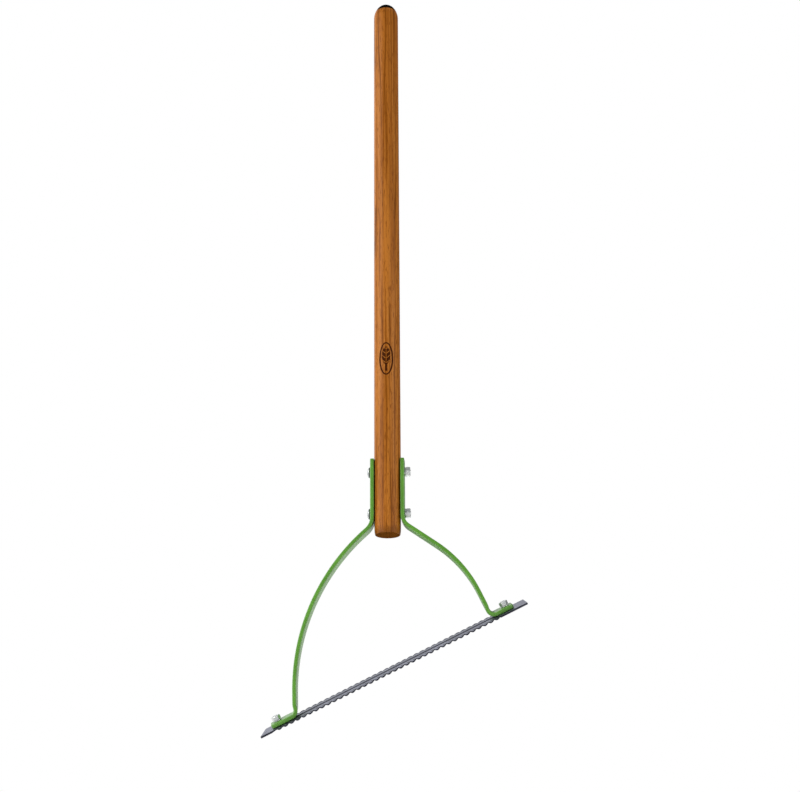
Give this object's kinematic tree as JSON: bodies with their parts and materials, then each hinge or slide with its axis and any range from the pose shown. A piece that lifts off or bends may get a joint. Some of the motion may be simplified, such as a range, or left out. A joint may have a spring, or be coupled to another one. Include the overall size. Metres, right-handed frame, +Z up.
{
  "type": "weed cutter",
  "caption": "Two-handed swing weed cutter: a round hardwood handle, flat painted steel straps and a straight double-edged toothed blade set at a slant.",
  "frame": {"origin": "Centre of the handle's flat lower end face", "axes": "+Z up along the handle to its domed top, +X along the spread of the straps to the higher end of the blade, +Y from the blade's lower cutting edge to its higher one"},
  "size_m": [0.3192, 0.0334, 1.0077],
  "materials": {
    "wood": "varnished hardwood, dark dipped tip",
    "paint": "green enamel on steel strap",
    "blade_steel": "tempered spring steel, ground",
    "zinc": "bright zinc plate"
  },
  "bodies": {
    "root": {"handle": "wood", "left_strap": "paint", "right_strap": "paint", "blade": "blade_steel", "blade_bolt_left": "zinc", "blade_bolt_right": "zinc", "blade_lock_washer_left": "zinc", "blade_lock_washer_right": "zinc", "blade_nut_left": "zinc", "blade_nut_right": "zinc", "handle_bolt_lower": "zinc", "handle_bolt_upper": "zinc", "handle_lock_washer_lower": "zinc", "handle_lock_washer_upper": "zinc", "handle_nut_lower": "zinc", "handle_nut_upper": "zinc"}
  },
  "joints": []
}
